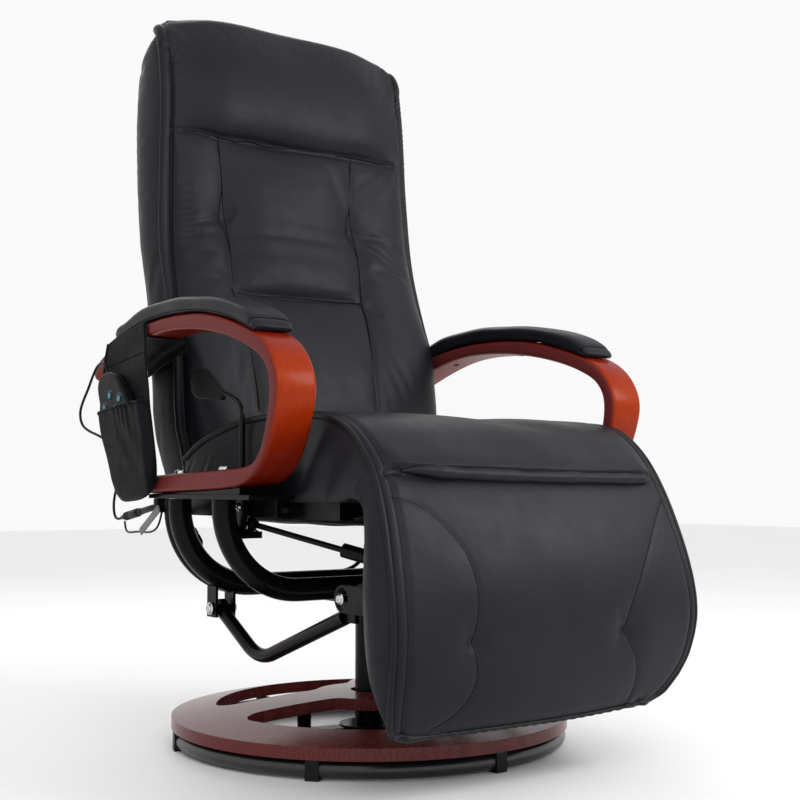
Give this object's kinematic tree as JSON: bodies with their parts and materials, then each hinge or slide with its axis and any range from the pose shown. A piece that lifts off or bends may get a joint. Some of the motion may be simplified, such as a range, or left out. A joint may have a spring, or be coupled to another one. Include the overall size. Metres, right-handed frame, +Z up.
{
  "type": "massage recliner",
  "caption": "Padded swivel recliner with bentwood arms, a round wooden base, a linked footrest, a release lever and a corded massage handset in a side pouch.",
  "frame": {"origin": "swivel axis where it meets the floor", "axes": "+Z up, the chair faces -Y, +X to the sitter's left"},
  "size_m": [0.651, 0.769, 1.134],
  "materials": {
    "wood": "red-brown lacquered bentwood",
    "steel_black": "satin black powder coat",
    "steel_bright": "ground steel",
    "chrome": "bright plated",
    "plastic_black": "fine moulded texture",
    "rubber": "matt",
    "cord": "smooth PVC sheath",
    "leather": "fine-grain black synthetic leather, soft sheen",
    "fabric": "woven black polyester",
    "tie_grey": "grey webbing tie",
    "board": "black-stained board with steel arms",
    "button": "teal soft-touch"
  },
  "bodies": {
    "base": {"base_disc": "wood", "base_ring_tube": "steel_black", "foot_clips": "plastic_black", "base_spider": "steel_black", "centre_pad": "rubber", "base_screws": "steel_bright", "column_tube": "steel_black", "column_bush": "plastic_black"},
    "swivel": {"swivel_spindle": "steel_bright", "thrust_washer": "steel_bright", "swivel_plate": "steel_black", "swivel_bolts": "chrome", "cradle_tube_front": "steel_black", "cradle_tube_rear": "steel_black", "cradle_tube_back": "steel_black", "arm_right": "wood", "arm_left": "wood", "arm_pad_right": "leather", "arm_pad_left": "leather", "arm_plate_right": "steel_black", "arm_plate_left": "steel_black", "seat_rails": "steel_black", "arm_bolts": "chrome", "link_lugs": "steel_black", "release_head": "steel_black", "harness_clip": "plastic_black", "control_box": "plastic_black", "pouch": "fabric", "pouch_inner_flap": "fabric", "handset_front": "plastic_black", "handset_back": "plastic_black", "handset_cord": "cord", "handset_plug": "plastic_black", "tail_wire": "cord", "harness_lead": "cord", "lead_plug": "plastic_black", "tie_strap": "tie_grey"},
    "seat": {"seat_runners": "steel_bright", "seat_frame": "steel_black", "seat_webbing": "fabric", "seat_motors": "plastic_black", "seat_dust_cover": "fabric", "seat_cushion": "leather"},
    "backrest": {"back_cushion": "leather", "back_rear_panel": "leather", "back_frame": "steel_black", "back_motors": "plastic_black"},
    "footrest": {"foot_cushion": "leather", "foot_frame": "board", "foot_motors": "plastic_black"},
    "links": {"link_bars": "steel_black"},
    "strut_rod_end": {"strut_rod": "steel_bright"},
    "strut_tube_end": {"strut_cylinder": "steel_black"},
    "lever": {"lever_rod": "steel_black", "lever_paddle": "plastic_black"},
    "button_1": {"handset_button_1": "button"},
    "button_2": {"handset_button_2": "button"},
    "button_3": {"handset_button_3": "button"},
    "button_4": {"handset_button_4": "button"}
  },
  "joints": [
    {"name": "swivel_turn", "type": "hinge", "parent": "base", "child": "swivel", "pos_m": [0, 0, 0.2], "axis": [0, 0, 1], "continuous": true},
    {"name": "seat_slide", "type": "slide", "parent": "swivel", "child": "seat", "axis": [0, 1, 0], "range_m": [0, 0.076]},
    {"name": "back_recline", "type": "hinge", "parent": "seat", "child": "backrest", "pos_m": [0, 0.165, 0.382], "axis": [-1, 0, 0], "range_deg": [0, 30]},
    {"name": "footrest_lift", "type": "hinge", "parent": "seat", "child": "footrest", "pos_m": [0, -0.27, 0.318], "axis": [-1, 0, 0], "range_deg": [0, 58]},
    {"name": "link_swing", "type": "hinge", "parent": "swivel", "child": "links", "pos_m": [0, 0.06, 0.199], "axis": [-1, 0, 0], "range_deg": [0, 6.75]},
    {"name": "strut_tilt", "type": "hinge", "parent": "swivel", "child": "strut_rod_end", "pos_m": [-0.24, -0.068, 0.322], "axis": [0.4197, 0, 0.9077], "range_deg": [0, 11.78]},
    {"name": "strut_stroke", "type": "slide", "parent": "strut_rod_end", "child": "strut_tube_end", "axis": [0.5016, -0.8334, -0.2319], "range_m": [-0.0592, 0]},
    {"name": "lever_pull", "type": "hinge", "parent": "swivel", "child": "lever", "pos_m": [-0.249, -0.055, 0.338], "axis": [-1, 0, 0], "range_deg": [0, 18], "stiffness_Nm_per_rad": 4, "springref_deg": -14.32},
    {"name": "button_1_press", "type": "slide", "parent": "swivel", "child": "button_1", "axis": [1, 0, 0], "range_m": [0, 0.001], "stiffness_N_per_m": 600, "springref_m": -0.0008},
    {"name": "button_2_press", "type": "slide", "parent": "swivel", "child": "button_2", "axis": [1, 0, 0], "range_m": [0, 0.001], "stiffness_N_per_m": 600, "springref_m": -0.0008},
    {"name": "button_3_press", "type": "slide", "parent": "swivel", "child": "button_3", "axis": [1, 0, 0], "range_m": [0, 0.001], "stiffness_N_per_m": 600, "springref_m": -0.0008},
    {"name": "button_4_press", "type": "slide", "parent": "swivel", "child": "button_4", "axis": [1, 0, 0], "range_m": [0, 0.001], "stiffness_N_per_m": 600, "springref_m": -0.0008}
  ],
  "couplings": [
    {"joint": "back_recline", "follows": "seat_slide", "rad_per_m": 6.8885},
    {"joint": "footrest_lift", "follows": "seat_slide", "rad_per_m": 13.319},
    {"joint": "link_swing", "follows": "seat_slide", "rad_per_m": 1.5455},
    {"joint": "strut_tilt", "follows": "seat_slide", "rad_per_m": 2.6995},
    {"joint": "strut_stroke", "follows": "seat_slide", "ratio": -0.77656}
  ]
}
